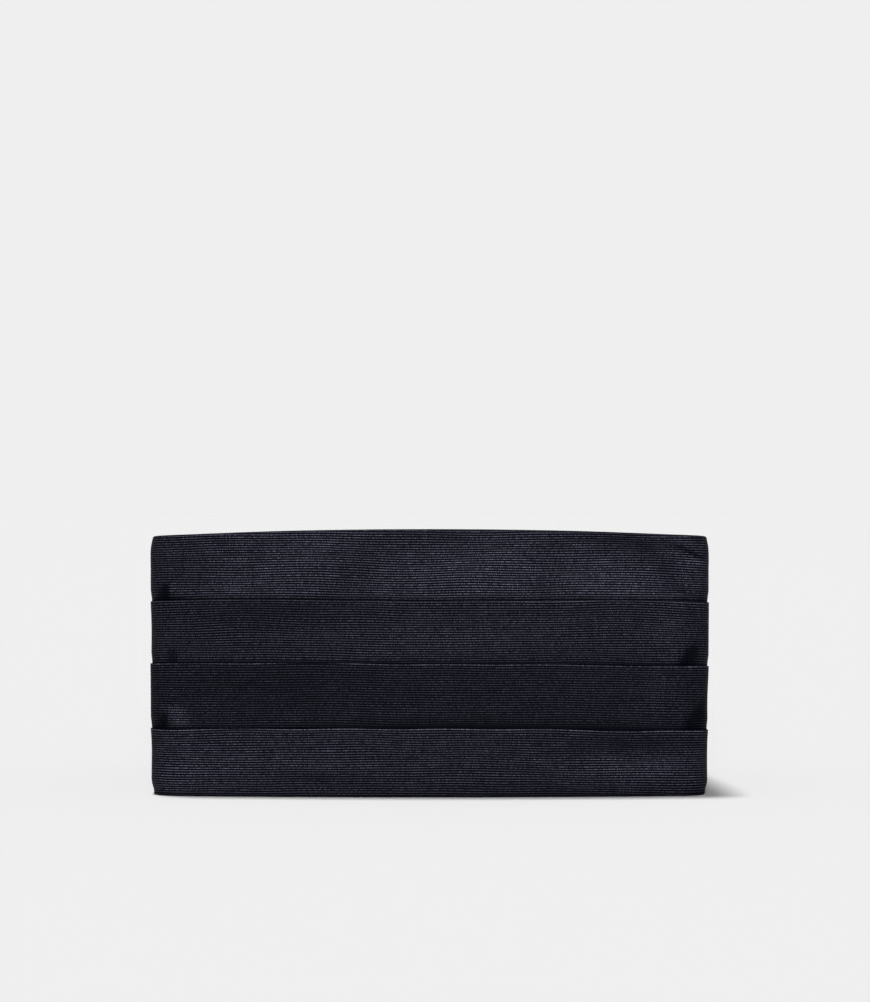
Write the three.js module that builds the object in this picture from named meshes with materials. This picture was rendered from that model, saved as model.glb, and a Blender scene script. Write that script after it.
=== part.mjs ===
// A pleated cummerbund, fastened as it is worn and standing by itself on its lower edge.
// Millimetres, +Z up, +X to the right, with the front of the band towards -Y.
// The origin is at floor level, under the middle of the whole loop.

import * as THREE from 'three';
import { mergeVertices } from 'three/addons/utils/BufferGeometryUtils.js';

const degrees = THREE.MathUtils.degToRad;

// The band: its height at the middle of the front, the loop all the way round along its outside,
// and the pleated cloth's reach from the middle of the front to each end.
const BAND_HEIGHT = 120;
const LOOP_LENGTH = 820;
const WING_LENGTH = 310;

// The loop seen from above: a nearly flat front between two tight corners, sides that run
// back and slightly inwards, and a wide curve into the straight back.
const FRONT_WIDTH = 253;
const FRONT_TURN = degrees(7.2);
const FRONT_CORNER = 14;
const SIDE_TOE_IN = degrees(3);
const BACK_CORNER = 62;

// Cloth and clearances.
const CLOTH = 1;
const PLEAT_EDGE = 1;
const POCKET_GAP = 0.3;
const POCKET_DEPTH = 12;
const SEAT_GAP = 0.3;
const PANEL_INSET = 1.5;
const HEM_LEAN = 0.4;
const EDGE_ROUND = 0.35;

// The end tabs, the straps and the clasp between them.
const TAB_GRIP = 26;
const TAB_TAPER = 14;
const STRAP_WIDTH = 25;
const STRAP_THICK = 1.2;
const STRAP_RETURN = 24;
const CLASP_THICK = 1.6;
const CLASP_BAR = 3;
const CLASP_SLOT = 3;
const CLASP_MIDDLE = 24;
const CLASP_ROUND = 2.5;
const CLASP_BEVEL = 0.3;
const SLOT_CLEARANCE = 0.5;

// How closely the forms are divided.
const FINE_STEP = 2.8;
const COARSE_STEP = 10;
const STRAP_STEP = 5;
const TIER_ROWS = 4;
const PANEL_ROWS = 6;
const RETURN_STEPS = 8;

// Outline of the band from the middle of the front to the end of a wing.
// along: share of the wing's length; top, bottom: shares of the band's height.
const OUTLINE = [
  { along: 0.0, top: 1.0, bottom: 0.0 },
  { along: 0.2, top: 0.994, bottom: 0.0 },
  { along: 0.34, top: 0.981, bottom: 0.0 },
  { along: 0.44, top: 0.969, bottom: 0.0 },
  { along: 0.6, top: 0.925, bottom: 0.0 },
  { along: 0.72, top: 0.862, bottom: 0.0 },
  { along: 0.84, top: 0.765, bottom: 0.055 },
  { along: 0.93, top: 0.665, bottom: 0.13 },
  { along: 1.0, top: 0.6, bottom: 0.183 },
];

// The three pleats. up: height of the folded edge as a share of the band's height there;
// slant: how much lower it lies at the right end of the front than at the left, as such a share;
// bow: how much higher it lies from the front corners on than in the middle, as such a share.
const PLEATS = [
  { up: 0.7305, slant: 0.004, bow: 0.016 },
  { up: 0.4975, slant: 0.011, bow: 0.005 },
  { up: 0.2575, slant: 0.007, bow: -0.004 },
];

// Dents and bulges pressed into the band where it turns the front corners.
// side: -1 left, 1 right; past: distance past the start of the corner, as a share of its radius;
// up, tall: shares of the band's height; wide, deep: shares of the corner radius, deep inwards.
const DENTS = [
  { side: -1, past: 0.6, up: 0.768, wide: 0.3, tall: 0.045, deep: 0.1 },
  { side: -1, past: 0.2, up: 0.532, wide: 0.25, tall: 0.035, deep: 0.045 },
  { side: -1, past: 0.65, up: 0.293, wide: 0.3, tall: 0.05, deep: 0.11 },
  { side: -1, past: -0.2, up: 0.29, wide: 0.4, tall: 0.05, deep: -0.05 },
  { side: 1, past: 0.35, up: 0.54, wide: 0.42, tall: 0.06, deep: 0.12 },
  { side: 1, past: 0.5, up: 0.3, wide: 0.35, tall: 0.07, deep: 0.12 },
  { side: 1, past: 0.3, up: 0.945, wide: 0.9, tall: 0.035, deep: 0.08 },
  { side: -1, past: 0.7, up: 1.0, wide: 0.7, tall: 0.07, deep: 0.08 },
  { side: 1, past: 0.7, up: 1.0, wide: 0.7, tall: 0.07, deep: 0.08 },
];

// Sizes that follow from those above. Depths are measured inwards from the outermost face.
const TIER_LEAN = PLEAT_EDGE + POCKET_GAP;
const TIER_HEIGHT = BAND_HEIGHT * Math.min(PLEATS[0].up - PLEATS[1].up, PLEATS[1].up - PLEATS[2].up);
const FRONT_BACK = TIER_LEAN * (1 + POCKET_DEPTH / TIER_HEIGHT) + CLOTH;
const PANEL_FACE = FRONT_BACK + SEAT_GAP;
const PANEL_BACK = PANEL_FACE + CLOTH;
const STRAP_RISE = CLASP_THICK / 2 + SEAT_GAP + STRAP_THICK / 2;
const STRAP_DEPTH = STRAP_RISE + STRAP_THICK / 2;
const CLASP_LENGTH = CLASP_MIDDLE + 2 * (CLASP_SLOT + CLASP_BAR);

const plan = layOutPlan();

// The loop's plan as runs of constant curvature from the middle of the front to the middle of
// the back. The side's length is what the other runs leave of half the loop.
function layOutPlan() {
  const frontRadius = (FRONT_WIDTH / 2 - FRONT_CORNER) / Math.sin(FRONT_TURN) + FRONT_CORNER;
  const sideHeading = Math.PI / 2 + SIDE_TOE_IN;
  const runs = {
    front: { radius: frontRadius, length: frontRadius * FRONT_TURN },
    frontCorner: { radius: FRONT_CORNER, length: FRONT_CORNER * (sideHeading - FRONT_TURN) },
    side: { radius: Infinity, length: 0 },
    backCorner: { radius: BACK_CORNER, length: BACK_CORNER * (Math.PI - sideHeading) },
    back: { radius: Infinity, length: 0 },
  };
  const turned = endOf(Object.values(runs));
  const spare = LOOP_LENGTH / 2 - turned.along - turned.x;
  runs.side.length = spare / (1 - Math.sin(SIDE_TOE_IN));
  runs.back.length = endOf(Object.values(runs)).x;
  const all = Object.values(runs);
  return {
    runs: all,
    cornerStart: runs.front.length,
    cornerEnd: runs.front.length + runs.frontCorner.length,
    halfLength: endOf(all).along,
    depth: endOf(all).y,
  };
}

// Where a chain of runs ends, starting at the middle of the front and heading along +X.
function endOf(runs) {
  let here = { x: 0, y: 0, heading: 0, along: 0 };
  for (const run of runs) here = travel(here, run, run.length);
  return here;
}

function travel(from, run, distance) {
  const turn = distance / run.radius;
  const chord = turn ? 2 * run.radius * Math.sin(turn / 2) : distance;
  const course = from.heading + turn / 2;
  return {
    x: from.x + chord * Math.cos(course),
    y: from.y + chord * Math.sin(course),
    heading: from.heading + turn,
    along: from.along + distance,
  };
}

// A point of the outermost face, with the outward direction there. Negative distances go left.
function planAt(along) {
  const side = along < 0 ? -1 : 1;
  let left = Math.abs(along);
  let here = { x: 0, y: 0, heading: 0, along: 0 };
  for (const run of plan.runs) {
    const distance = Math.min(left, run.length);
    here = travel(here, run, distance);
    left -= distance;
  }
  return {
    x: side * here.x,
    y: here.y - plan.depth / 2,
    outX: side * Math.sin(here.heading),
    outY: -Math.cos(here.heading),
  };
}

function planPoint(along, depth) {
  const at = planAt(along);
  return new THREE.Vector2(at.x - at.outX * depth, at.y - at.outY * depth);
}

// A column of a table read at a place between its rows, along a smooth curve through them
// that stays flat where two rows are equal.
function readTable(table, column, place) {
  const last = table.length - 1;
  const rate = (i) => (
    (table[i + 1][column] - table[i][column]) / (table[i + 1].along - table[i].along));
  const slope = (i) => {
    if (i === 0) return 0;
    if (i === last) return rate(last - 1);
    return rate(i - 1) * rate(i) > 0 ? (rate(i - 1) + rate(i)) / 2 : 0;
  };
  let i = 0;
  while (i < last - 1 && table[i + 1].along < place) i += 1;
  const span = table[i + 1].along - table[i].along;
  const t = (place - table[i].along) / span;
  const startSlope = slope(i) * span;
  const endSlope = slope(i + 1) * span;
  const start = table[i][column];
  const rise = table[i + 1][column] - start;
  return start + startSlope * t + (3 * rise - 2 * startSlope - endSlope) * t * t
    + (startSlope + endSlope - 2 * rise) * t * t * t;
}

function bandTop(along) {
  return BAND_HEIGHT * readTable(OUTLINE, 'top', Math.min(Math.abs(along) / WING_LENGTH, 1));
}

function bandBottom(along) {
  return BAND_HEIGHT * readTable(OUTLINE, 'bottom', Math.min(Math.abs(along) / WING_LENGTH, 1));
}

function pleatHeight(pleat, along) {
  const low = bandBottom(along);
  const tilt = pleat.slant * THREE.MathUtils.clamp(along / FRONT_WIDTH, -0.5, 0.5);
  const rise = pleat.bow * THREE.MathUtils.smoothstep(Math.abs(along), 0, plan.cornerStart);
  return low + (pleat.up - tilt + rise) * (bandTop(along) - low);
}

function dentDepth(along, z) {
  let depth = 0;
  for (const dent of DENTS) {
    const middle = dent.side * (plan.cornerStart + dent.past * FRONT_CORNER);
    const across = (along - middle) / (dent.wide * FRONT_CORNER);
    const upward = (z - dent.up * BAND_HEIGHT) / (dent.tall * BAND_HEIGHT);
    depth += dent.deep * FRONT_CORNER * Math.exp(-across * across - upward * upward);
  }
  return depth;
}

// A place in the band: along the loop, inwards from its outermost face, and up.
function bandPoint(along, depth, z) {
  const flat = planPoint(along, depth + dentDepth(along, z));
  return new THREE.Vector3(flat.x, flat.y, z);
}

// Places along the band, closer together where it turns the front corners.
function bandStations(reach) {
  const stops = [0, plan.cornerStart - FRONT_CORNER, plan.cornerEnd + FRONT_CORNER, reach];
  const steps = [COARSE_STEP, FINE_STEP, COARSE_STEP];
  const right = [];
  steps.forEach((step, i) => {
    const length = stops[i + 1] - stops[i];
    const count = Math.max(1, Math.round(length / step));
    for (let k = 1; k <= count; k += 1) right.push(stops[i] + (length * k) / count);
  });
  const left = right.map((along) => -along).reverse();
  return [...left, 0, ...right];
}

// The pleated cloth cut across: down the front, in and out of each pleat's pocket, and up the back.
// Each entry is a depth and a height.
function frontSection(along) {
  const top = bandTop(along);
  const bottom = bandBottom(along);
  const shrink = (top - bottom) / BAND_HEIGHT;
  const folds = PLEATS.map((pleat) => pleatHeight(pleat, along));
  const points = [];
  let upper = top;
  for (const fold of [...folds, bottom]) {
    const lean = fold === bottom ? HEM_LEAN : TIER_LEAN;
    const faceAt = (z) => (lean * (upper - z)) / (upper - fold);
    points.push([EDGE_ROUND, upper]);
    const start = upper - EDGE_ROUND;
    for (let row = 0; row <= TIER_ROWS; row += 1) {
      const z = start + ((fold - start) * row) / TIER_ROWS;
      points.push([faceAt(z), z]);
    }
    if (fold === bottom) break;
    addPocket(points, fold, shrink, folds.indexOf(fold), folds, bottom);
    upper = fold;
  }
  for (const z of backHeights(along, 0).reverse()) points.push([FRONT_BACK, z]);
  return points;
}

// Heights of the rows down the flat back of the band, with the first and last drawn in a little.
function backHeights(along, inset) {
  const top = bandTop(along);
  const bottom = bandBottom(along);
  const heights = [top - inset];
  for (let row = 1; row < PANEL_ROWS; row += 1) {
    heights.push(top - ((top - bottom) * row) / PANEL_ROWS);
  }
  return [...heights, bottom + inset];
}

// A pleat's pocket: down behind the folded edge and up again, leaning as the tier below does.
function addPocket(points, fold, shrink, index, folds, bottom) {
  const below = index + 1 < folds.length ? folds[index + 1] : bottom;
  const lean = below === bottom ? HEM_LEAN : TIER_LEAN;
  const deep = POCKET_DEPTH * shrink;
  const leanAt = (down) => (lean * down) / (fold - below);
  points.push([TIER_LEAN + leanAt(deep), fold - deep]);
  points.push([PLEAT_EDGE + leanAt(deep), fold - deep]);
  points.push([PLEAT_EDGE + leanAt(EDGE_ROUND), fold - EDGE_ROUND]);
}

function panelSection(along) {
  const heights = backHeights(along, PANEL_INSET);
  const outside = heights.map((z) => [PANEL_FACE, z]);
  const inside = heights.map((z) => [PANEL_BACK, z]);
  return [...outside, ...inside.reverse()];
}

// A closed body through rings that all have the same number of points, listed anticlockwise
// as seen from the last ring. The cap holds the triangles that close a ring.
function loft(rings, cap) {
  const size = rings[0].length;
  const faces = [];
  for (let j = 0; j < rings.length - 1; j += 1) {
    for (let i = 0; i < size; i += 1) {
      const a = j * size + i;
      const b = j * size + ((i + 1) % size);
      faces.push(a, b, b + size, a, b + size, a + size);
    }
  }
  const end = (rings.length - 1) * size;
  for (const [a, b, c] of cap) faces.push(c, b, a, end + a, end + b, end + c);
  return geometryOf(rings.flat().flatMap((point) => point.toArray()), faces);
}

// A layer of the band, lofted along it through sections of depths and heights.
function bandLayer(sectionAt) {
  const stations = bandStations(WING_LENGTH);
  const rings = stations.map((along) => (
    sectionAt(along).map(([depth, z]) => bandPoint(along, depth, z))));
  const outline = sectionAt(0).map(([depth, z]) => new THREE.Vector2(depth, z));
  return loft(rings, THREE.ShapeUtils.triangulateShape(outline, []));
}

function geometryOf(positions, faces) {
  const geometry = new THREE.BufferGeometry();
  geometry.setAttribute('position', new THREE.Float32BufferAttribute(positions, 3));
  geometry.setIndex(faces);
  return geometry;
}

// An end tab is a flat sleeve: over the wing's end it is as high as the band, and it then
// narrows to the strap. Each row is a place along the tab with its hollow's half height and depths.
function tabRows() {
  const middle = (bandTop(WING_LENGTH) + bandBottom(WING_LENGTH)) / 2;
  const start = WING_LENGTH - TAB_GRIP;
  const end = WING_LENGTH + TAB_TAPER;
  const rows = [];
  for (const share of [0, 0.33, 0.67, 1]) {
    const along = start + TAB_GRIP * share + (share === 1 ? SEAT_GAP : 0);
    rows.push({
      along,
      low: bandBottom(along) - SEAT_GAP,
      high: bandTop(along) + SEAT_GAP,
      near: -SEAT_GAP,
      far: PANEL_BACK + SEAT_GAP,
    });
  }
  const half = STRAP_WIDTH / 2 + SEAT_GAP;
  for (const along of [end - TAB_TAPER / 3, end]) {
    rows.push({
      along,
      low: middle - half,
      high: middle + half,
      near: STRAP_DEPTH - STRAP_THICK / 2 - SEAT_GAP,
      far: STRAP_DEPTH + STRAP_THICK / 2 + SEAT_GAP,
    });
  }
  return rows;
}

function endTab(side) {
  const rows = tabRows();
  const positions = [];
  for (const row of rows) {
    for (const wall of [CLOTH, 0]) {
      const corners = [
        [row.near - wall, row.high + wall],
        [row.near - wall, row.low - wall],
        [row.far + wall, row.low - wall],
        [row.far + wall, row.high + wall],
      ];
      for (const [depth, z] of corners) {
        const flat = planPoint(side * row.along, depth);
        positions.push(flat.x, flat.y, z);
      }
    }
  }
  const faces = [];
  const quad = (a, b, c, d) => faces.push(a, b, c, a, c, d);
  const last = (rows.length - 1) * 8;
  for (let i = 0; i < 4; i += 1) {
    const next = (i + 1) % 4;
    for (let j = 0; j < last; j += 8) {
      quad(j + i, j + next, j + next + 8, j + i + 8);
      quad(j + 4 + next, j + 4 + i, j + 12 + i, j + 12 + next);
    }
    quad(next, i, 4 + i, 4 + next);
    quad(last + i, last + next, last + 4 + next, last + 4 + i);
  }
  if (side < 0) faces.reverse();
  return geometryOf(positions, faces);
}

// The middle line of a strap seen from above: out of the tab, over the clasp's bar, through its
// slot and back along the inside, where the doubled end is sewn down.
function strapLine() {
  const bar = plan.halfLength - CLASP_LENGTH / 2 + CLASP_BAR;
  const start = WING_LENGTH + 2 * SEAT_GAP;
  const closing = bar - CLASP_BAR - STRAP_RISE;
  const doubled = STRAP_THICK + SEAT_GAP;
  const riseAt = (along) => THREE.MathUtils.smoothstep(along, closing - 2 * CLASP_BAR, closing);
  const outgoing = [];
  const count = Math.round((closing - start) / STRAP_STEP);
  for (let k = 0; k <= count; k += 1) {
    const along = start + ((closing - start) * k) / count;
    outgoing.push(planPoint(along, STRAP_DEPTH - STRAP_RISE * riseAt(along)));
  }
  const turn = [];
  for (let k = 0; k <= RETURN_STEPS; k += 1) {
    const angle = (Math.PI * k) / RETURN_STEPS;
    turn.push(planPoint(bar + STRAP_RISE * Math.sin(angle), STRAP_DEPTH - STRAP_RISE * Math.cos(angle)));
  }
  const returning = [];
  for (let k = 0; k <= RETURN_STEPS; k += 1) {
    const along = closing - (STRAP_RETURN * k) / RETURN_STEPS;
    const apart = doubled + (STRAP_RISE - doubled) * riseAt(along);
    returning.push(planPoint(along, STRAP_DEPTH + apart));
  }
  return [...outgoing, ...turn, ...returning];
}

// A flat strap of even thickness, standing on edge along its middle line.
function strap(side) {
  const line = strapLine();
  const low = strapMiddle() - STRAP_WIDTH / 2;
  const high = strapMiddle() + STRAP_WIDTH / 2;
  const rings = line.map((point, i) => {
    const before = line[Math.max(i - 1, 0)];
    const after = line[Math.min(i + 1, line.length - 1)];
    const run = after.clone().sub(before).normalize();
    const inward = new THREE.Vector2(-run.y, run.x).multiplyScalar(STRAP_THICK / 2);
    const corner = (sense, z) => new THREE.Vector3(
      side * (point.x + sense * inward.x), point.y + sense * inward.y, z);
    const ring = [corner(-1, high), corner(-1, low), corner(1, low), corner(1, high)];
    return side < 0 ? ring.reverse() : ring;
  });
  return loft(rings, [[0, 1, 2], [0, 2, 3]]);
}

function strapMiddle() {
  return (bandTop(WING_LENGTH) + bandBottom(WING_LENGTH)) / 2;
}

// The clasp is a flat plate with rounded corners and a slot for each strap.
function clasp() {
  const height = STRAP_WIDTH + 2 * (SLOT_CLEARANCE + CLASP_BAR);
  const plate = roundedRectangle(0, CLASP_LENGTH, height, CLASP_ROUND);
  for (const side of [-1, 1]) {
    const middle = side * (CLASP_MIDDLE + CLASP_SLOT) / 2;
    const slotHeight = STRAP_WIDTH + 2 * SLOT_CLEARANCE;
    plate.holes.push(roundedRectangle(middle, CLASP_SLOT, slotHeight, CLASP_SLOT / 5));
  }
  const geometry = new THREE.ExtrudeGeometry(plate, {
    depth: CLASP_THICK - 2 * CLASP_BEVEL,
    bevelThickness: CLASP_BEVEL,
    bevelSize: CLASP_BEVEL,
    bevelOffset: -CLASP_BEVEL,
    bevelSegments: 1,
    curveSegments: 4,
  });
  geometry.translate(0, 0, CLASP_BEVEL - CLASP_THICK / 2);
  geometry.rotateX(Math.PI / 2);
  geometry.translate(0, plan.depth / 2 - STRAP_DEPTH, strapMiddle());
  return weld(geometry);
}

function roundedRectangle(middle, width, height, radius) {
  const shape = new THREE.Shape();
  const right = middle + width / 2 - radius;
  const left = middle - width / 2 + radius;
  const up = height / 2 - radius;
  shape.absarc(right, up, radius, 0, Math.PI / 2);
  shape.absarc(left, up, radius, Math.PI / 2, Math.PI);
  shape.absarc(left, -up, radius, Math.PI, 1.5 * Math.PI);
  shape.absarc(right, -up, radius, 1.5 * Math.PI, 2 * Math.PI);
  return shape;
}

function weld(geometry) {
  geometry.deleteAttribute('normal');
  geometry.deleteAttribute('uv');
  return mergeVertices(geometry, 1e-4);
}

const ribbedCloth = new THREE.MeshStandardMaterial({ color: 0x23232b, roughness: 0.55, metalness: 0 });
const plainCloth = new THREE.MeshStandardMaterial({ color: 0x1c1c24, roughness: 0.7, metalness: 0 });
const wovenStrap = new THREE.MeshStandardMaterial({ color: 0x191920, roughness: 0.8, metalness: 0 });
const nickelPlate = new THREE.MeshStandardMaterial({ color: 0xb4b4b2, roughness: 0.3, metalness: 1 });

function piece(name, geometry, material) {
  const mesh = new THREE.Mesh(geometry, material);
  mesh.name = name;
  return mesh;
}

const cummerbund = new THREE.Group();
cummerbund.name = 'cummerbund';
cummerbund.add(
  piece('pleated_front', bandLayer(frontSection), ribbedCloth),
  piece('back_panel', bandLayer(panelSection), plainCloth),
  piece('end_tab_left', endTab(-1), ribbedCloth),
  piece('end_tab_right', endTab(1), ribbedCloth),
  piece('strap_left', strap(-1), wovenStrap),
  piece('strap_right', strap(1), wovenStrap),
  piece('clasp', clasp(), nickelPlate),
);

export default cummerbund;
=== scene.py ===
# %% [markdown]
# # A pleated cummerbund in ribbed silk
# A cummerbund is a wide evening waist band. Its front is one long strip of ribbed cloth laid in
# pleats that open upwards, sewn on a plain back panel and fastened behind by a narrow strap.
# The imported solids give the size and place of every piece. This lesson dresses them: it folds
# the real cloth over them in flat-cloth coordinates, and gives each piece the finish of its
# material. Lengths in the tables are in millimetres, and MM turns them to metres.

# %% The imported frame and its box
import math

import bmesh
import bpy
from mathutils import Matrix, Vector, noise


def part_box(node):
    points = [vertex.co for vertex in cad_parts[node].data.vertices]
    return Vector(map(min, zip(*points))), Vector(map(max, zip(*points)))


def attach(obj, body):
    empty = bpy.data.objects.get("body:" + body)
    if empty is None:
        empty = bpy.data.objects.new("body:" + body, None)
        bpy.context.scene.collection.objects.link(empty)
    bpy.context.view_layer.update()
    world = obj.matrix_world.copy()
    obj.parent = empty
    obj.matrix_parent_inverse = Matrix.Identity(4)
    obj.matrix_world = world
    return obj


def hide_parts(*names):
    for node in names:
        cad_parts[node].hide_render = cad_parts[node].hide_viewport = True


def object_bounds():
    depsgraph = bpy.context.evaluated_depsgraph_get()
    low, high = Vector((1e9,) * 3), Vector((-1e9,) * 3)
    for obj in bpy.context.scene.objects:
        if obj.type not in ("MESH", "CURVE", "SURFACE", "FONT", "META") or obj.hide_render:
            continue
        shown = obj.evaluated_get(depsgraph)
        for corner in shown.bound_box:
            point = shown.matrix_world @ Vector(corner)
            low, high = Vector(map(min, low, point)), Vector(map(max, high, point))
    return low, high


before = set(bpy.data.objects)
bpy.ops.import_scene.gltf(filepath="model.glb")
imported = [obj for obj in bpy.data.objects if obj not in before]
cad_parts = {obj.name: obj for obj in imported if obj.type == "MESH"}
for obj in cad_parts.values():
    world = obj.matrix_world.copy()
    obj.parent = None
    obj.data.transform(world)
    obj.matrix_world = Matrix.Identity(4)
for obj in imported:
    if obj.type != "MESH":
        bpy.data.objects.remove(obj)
cad_low, cad_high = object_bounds()
MM = 0.001
print("CAD box in mm", [round(x / MM, 1) for x in (*cad_low, *cad_high)])

# %% [markdown]
# ## The camera
# The band was photographed from the front with a long lens, level with a point a little above
# its top edge. The photograph shows 2.24 pixels for each millimetre of the front. The lens
# follows from that scale and the distance, and the camera stands opposite the picture's middle.
# The sensor's width spans the longer side of the picture, which is its height.

# %% The camera at the photograph's view
PICTURE_WIDTH, PICTURE_HEIGHT = 870, 1002
PIXELS_PER_MM = 2.2375
BAND_MIDDLE_PX = 429.6
LOWER_EDGE_PX = 797.6
CAMERA_DISTANCE = 1600

front_low, front_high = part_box("pleated_front")
camera_data = bpy.data.cameras.new("camera")
camera_data.lens = camera_data.sensor_width * CAMERA_DISTANCE * PIXELS_PER_MM / PICTURE_HEIGHT
camera = bpy.data.objects.new("camera", camera_data)
bpy.context.scene.collection.objects.link(camera)
camera.location = (
    (PICTURE_WIDTH / 2 - BAND_MIDDLE_PX) / PIXELS_PER_MM * MM,
    front_low.y - CAMERA_DISTANCE * MM,
    (LOWER_EDGE_PX - PICTURE_HEIGHT / 2) / PIXELS_PER_MM * MM,
)
camera.rotation_euler = (math.pi / 2, 0, 0)
bpy.context.scene.camera = camera
print("lens", round(camera_data.lens, 1), "mm, camera at", [round(x, 3) for x in camera.location])

# %% [markdown]
# ## Tables, colours and nodes
# What repeats is kept in short tables with a name for each column. Colours are written as they
# look on a screen and turned to the linear values that light works in. One small function adds
# a node with its settings and its links, so that a material reads as a short list of steps.

# %% Helpers for tables, colours and nodes
def table(columns, rows):
    """A list of rows, each with its values under the names of the columns."""
    return [dict(zip(columns.split(), row)) for row in rows]


def colour(code):
    """A screen colour such as "22222c" as linear light."""
    channels = [int(code[i:i + 2], 16) / 255 for i in (0, 2, 4)]
    linear = [c / 12.92 if c <= 0.04045 else ((c + 0.055) / 1.055) ** 2.4 for c in channels]
    return (*linear, 1.0)


def add(tree, kind, settings=None, links=None):
    """Adds a node. A setting is a property or an input's value, a link an input's source."""
    node = tree.nodes.new(kind)
    for name, value in (settings or {}).items():
        if hasattr(node, name):
            setattr(node, name, value)
        else:
            node.inputs[name].default_value = value
    for name, source in (links or {}).items():
        tree.links.new(source, node.inputs[name])
    return node


def new_material(name):
    """An empty material with its shader and output, ready for nodes."""
    material = bpy.data.materials.new(name)
    material.use_nodes = True
    tree = material.node_tree
    tree.nodes.clear()
    shader = add(tree, "ShaderNodeBsdfPrincipled")
    add(tree, "ShaderNodeOutputMaterial", links={"Surface": shader.outputs["BSDF"]})
    return material, tree, shader


def math_step(tree, operation, first, second=None, third=None):
    """One sum on a value: each of the three is a socket or a number."""
    node = add(tree, "ShaderNodeMath", {"operation": operation})
    for i, value in enumerate((first, second, third)):
        if isinstance(value, bpy.types.NodeSocket):
            tree.links.new(value, node.inputs[i])
        elif value is not None:
            node.inputs[i].default_value = value
    return node.outputs[0]


print("white 239 is", round(colour("efefef")[0], 3), "in linear light")

# %% [markdown]
# ## The studio
# The photograph has a pale grey ground with no horizon, a thin dark line where the band stands
# and a soft shadow to its right. Two broad suns give that on a wide floor: a front one lights
# the silk, and one almost overhead, a little to the left and behind, draws the line and the
# shadow. Two level fills from behind, without shadows or glints, show the sides and the inside,
# and the sky fills in faintly. The floor is matt paper, which shows shadows and no gloss.

# %% Floor, suns and sky
GROUND = "efefef"
PAPER = "e8e8e8"
FLOOR_SIZE = 60
SKY_LIGHT = 0.12
# strength: W/m2; soft: degrees the sun is wide; tilt: degrees from straight above towards the
# front; side: degrees towards the left; turn: degrees round the band from the front; fill: true
# for a light without shadows or glints.
SUNS = table("name strength soft tilt side turn fill", [
    ("front_sun",  2.75, 14,   80,   0,    0, False),
    ("top_sun",     2.4, 10, -4.5, 5.5,    0, False),
    ("right_fill",  1.2, 20,   88,   0,  130,  True),
    ("left_fill",   1.2, 20,   88,   0, -130,  True),
])

bm = bmesh.new()
bmesh.ops.create_grid(bm, x_segments=1, y_segments=1, size=FLOOR_SIZE / 2)
floor_mesh = bpy.data.meshes.new("floor")
bm.to_mesh(floor_mesh)
bm.free()
floor = bpy.data.objects.new("floor", floor_mesh)
bpy.context.scene.collection.objects.link(floor)
paper, tree, shader = new_material("matt_white_paper")
shader.inputs["Base Color"].default_value = colour(PAPER)
shader.inputs["Roughness"].default_value = 0.9
shader.inputs["Specular IOR Level"].default_value = 0.0
floor.data.materials.append(paper)

for row in SUNS:
    sun_data = bpy.data.lights.new(row["name"], "SUN")
    sun_data.energy = row["strength"]
    sun_data.angle = math.radians(row["soft"])
    sun = bpy.data.objects.new(row["name"], sun_data)
    sun.rotation_euler = [math.radians(angle) for angle in (row["tilt"], -row["side"], row["turn"])]
    if row["fill"]:
        sun_data.use_shadow = False
        sun.visible_glossy = False
    bpy.context.scene.collection.objects.link(sun)

sky = bpy.data.worlds.new("studio")
sky.use_nodes = True
tree = sky.node_tree
tree.nodes.clear()
seen = add(tree, "ShaderNodeLightPath")
lit = add(tree, "ShaderNodeBackground", {"Color": (1, 1, 1, 1), "Strength": SKY_LIGHT})
shown = add(tree, "ShaderNodeBackground", {"Color": colour(GROUND), "Strength": 1.0})
both = add(tree, "ShaderNodeMixShader", links={
    0: seen.outputs["Is Camera Ray"], 1: lit.outputs[0], 2: shown.outputs[0]})
add(tree, "ShaderNodeOutputWorld", links={"Surface": both.outputs[0]})
bpy.context.scene.world = sky
bpy.context.scene.view_settings.view_transform = "Standard"
print("suns", [row["strength"] for row in SUNS], "sky", SKY_LIGHT)

# %% [markdown]
# ## The loop seen from above
# The band's outermost face follows a line on the floor: a nearly flat front, two tight corners,
# sides that run back and slightly inwards, and a wide curve into the straight back. It is worked
# out as runs of constant curvature. The front's width and the loop's depth are read from the
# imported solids, so the cloth lands on them exactly.

# %% The plan of the loop
FRONT_TURN = math.radians(7.2)
FRONT_CORNER = 14.0
SIDE_TOE_IN = math.radians(3)
BACK_CORNER = 62.0
WING_LENGTH = 310.0

front_width = (front_high.x - front_low.x) / MM
loop_depth = (cad_high.y - cad_low.y) / MM
band_height = front_high.z / MM


def travel(x, y, heading, radius, distance):
    """Goes on from a place along a run: an arc of that radius, or a straight line for None."""
    turn = distance / radius if radius else 0
    chord = 2 * radius * math.sin(turn / 2) if radius else distance
    course = heading + turn / 2
    return x + chord * math.cos(course), y + chord * math.sin(course), heading + turn


def lay_out_runs():
    """Radius and length of each run, from the middle of the front to the middle of the back."""
    front_radius = (front_width / 2 - FRONT_CORNER) / math.sin(FRONT_TURN) + FRONT_CORNER
    side_heading = math.pi / 2 + SIDE_TOE_IN
    runs = [
        [front_radius, front_radius * FRONT_TURN],
        [FRONT_CORNER, FRONT_CORNER * (side_heading - FRONT_TURN)],
        [None, 0],
        [BACK_CORNER, BACK_CORNER * (math.pi - side_heading)],
        [None, 0],
    ]
    end = (0, 0, 0)
    for radius, length in runs:
        end = travel(*end, radius, length)
    runs[2][1] = (loop_depth - end[1]) / math.cos(SIDE_TOE_IN)
    runs[4][1] = end[0] - runs[2][1] * math.sin(SIDE_TOE_IN)
    return runs


loop_runs = lay_out_runs()
corner_start = loop_runs[0][1]
corner_end = corner_start + loop_runs[1][1]


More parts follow.
